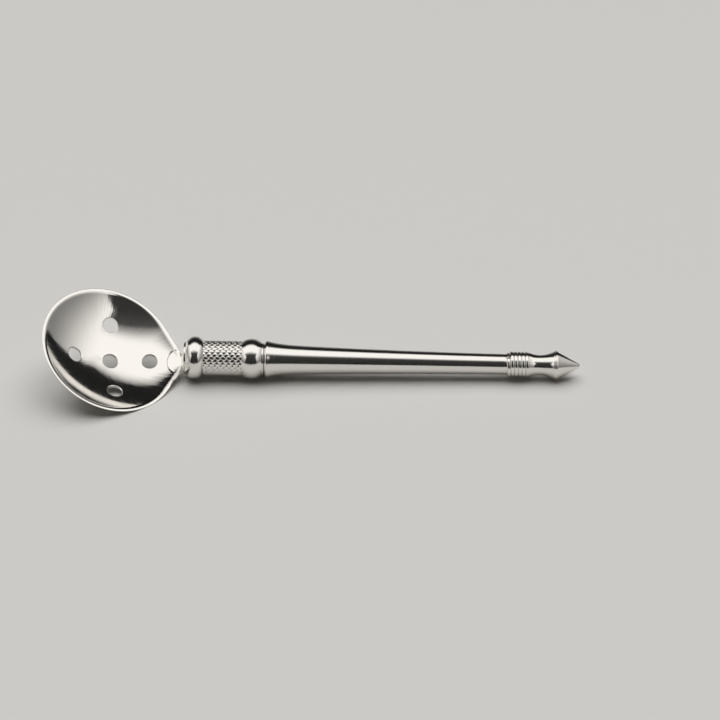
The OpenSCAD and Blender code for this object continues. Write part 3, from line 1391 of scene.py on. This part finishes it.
@dataclass
class Studio:
    """Pale paper, soft boxes over and beside the spoon, and the camera of the photo."""

    rest: Rest
    sensor_mm: float = 36.0
    lens_mm: float = 135.9
    distance_mm: float = 906.0
    look_at_x: float = 4.8
    offset_right_mm: float = 54.83
    offset_up_mm: float = -0.5
    sight_deg: float = 56.7
    lean_deg: float = -0.25
    floor_m: float = 6.0
    room: float = 0.015

    def build(self) -> None:
        """Makes the floor, the lights and the camera."""
        self._floor()
        self._lights()
        self._camera()

    def _floor(self) -> None:
        """A plain pale floor that keeps the spoon's shadow."""
        bm = bmesh.new()
        bmesh.ops.create_grid(bm, x_segments=1, y_segments=1, size=self.floor_m / 2)
        floor = finish_mesh(bm, "floor", Matrix.Identity(4), [PalePaper().make()])

    def _lights(self) -> None:
        """A soft box overhead, one at each side, dim ones at front and back, and a dim room."""
        world = bpy.data.worlds.new("studio_room")
        world.use_nodes = True
        background = world.node_tree.nodes["Background"]
        background.inputs["Color"].default_value = linear("FFFFFF")
        background.inputs["Strength"].default_value = self.room
        bpy.context.scene.world = world
        boxes = [
            SoftBox("overhead_box", Vector((-0.05, 0.005, 0.50)), Vector((-0.05, 0.005, 0.0)),
                    width=0.9, depth=0.60,
                    stops=((0.0, 0.22), (0.3, 1.15), (0.78, 1.15), (1.0, 0.4))),
            SoftBox("right_box", Vector((0.40, -0.10, 0.26)), Vector((0.0, -0.10, 0.26)),
                    width=0.81, depth=0.48, stops=((0.0, 0.22), (1.0, 1.1))),
            SoftBox("left_box", Vector((-0.50, -0.10, 0.26)), Vector((0.0, -0.10, 0.26)),
                    width=0.81, depth=0.48, stops=((0.0, 0.22), (1.0, 1.1))),
            SoftBox("front_box", Vector((-0.05, -0.30, 0.26)), Vector((-0.05, 0.0, 0.26)),
                    width=0.9, depth=0.48, stops=((0.0, 0.008), (0.5, 0.022), (1.0, 0.06))),
            SoftBox("back_box", Vector((-0.10, 0.45, 0.10)), Vector((-0.10, 0.0, 0.10)),
                    width=0.60, depth=0.20, stops=((0.0, 0.10), (0.6, 0.20), (1.0, 0.02))),
        ]
        for box in boxes:
            box.build()
        PaperLight().build()

    def _camera(self) -> None:
        """The camera: its height follows from how far the spoon has rolled over."""
        tip = math.radians(self.sight_deg) - self.rest.roll
        forward = Vector((0, math.cos(tip), -math.sin(tip)))
        up = Vector((0, math.sin(tip), math.cos(tip)))
        right = Vector((1, 0, 0))
        collar = self.rest.handle_place @ Vector((self.look_at_x, 0, 0))
        data = bpy.data.cameras.new("camera")
        data.sensor_width = self.sensor_mm
        data.lens = self.lens_mm
        camera = bpy.data.objects.new("camera", data)
        camera.location = (
            collar
            + right * self.offset_right_mm * MM
            + up * self.offset_up_mm * MM
            - forward * self.distance_mm * MM
        )
        lean = Quaternion(forward, math.radians(self.lean_deg))
        camera.rotation_mode = "QUATERNION"
        camera.rotation_quaternion = lean @ forward.to_track_quat("-Z", "Y")
        bpy.context.scene.collection.objects.link(camera)
        bpy.context.scene.camera = camera


def main() -> None:
    """Builds the spoon and its studio."""
    logging.basicConfig(level=logging.INFO, format="%(name)s: %(message)s")
    bpy.context.scene.view_settings.view_transform = "Standard"
    handle_sizes, bowl_sizes = HandleSizes(), BowlSizes()
    rest = Rest(handle_sizes, bowl_sizes)
    # The casting is polished by hand between its forms, so it mirrors less sharply than the bowl.
    cast = PolishedPlate("silver_plated_cast_handle", roughness=0.1, haze=0.08)
    handle = Handle(handle_sizes, rest, cast)
    handle.dress(handle.build())
    buffed = BuffedPlate("silver_plated_pressed_bowl", place=rest.bowl_place)
    # Solder in the seam has tarnished: a thin grey line, duller than the plate beside it.
    seam = PolishedPlate("tarnished_solder_seam", colour="8C8880", roughness=0.22)
    bowl = Bowl(bowl_sizes, rest, buffed, seam)
    bowl.dress(bowl.build())
    Studio(rest).build()


if __name__ == "__main__":
    main()
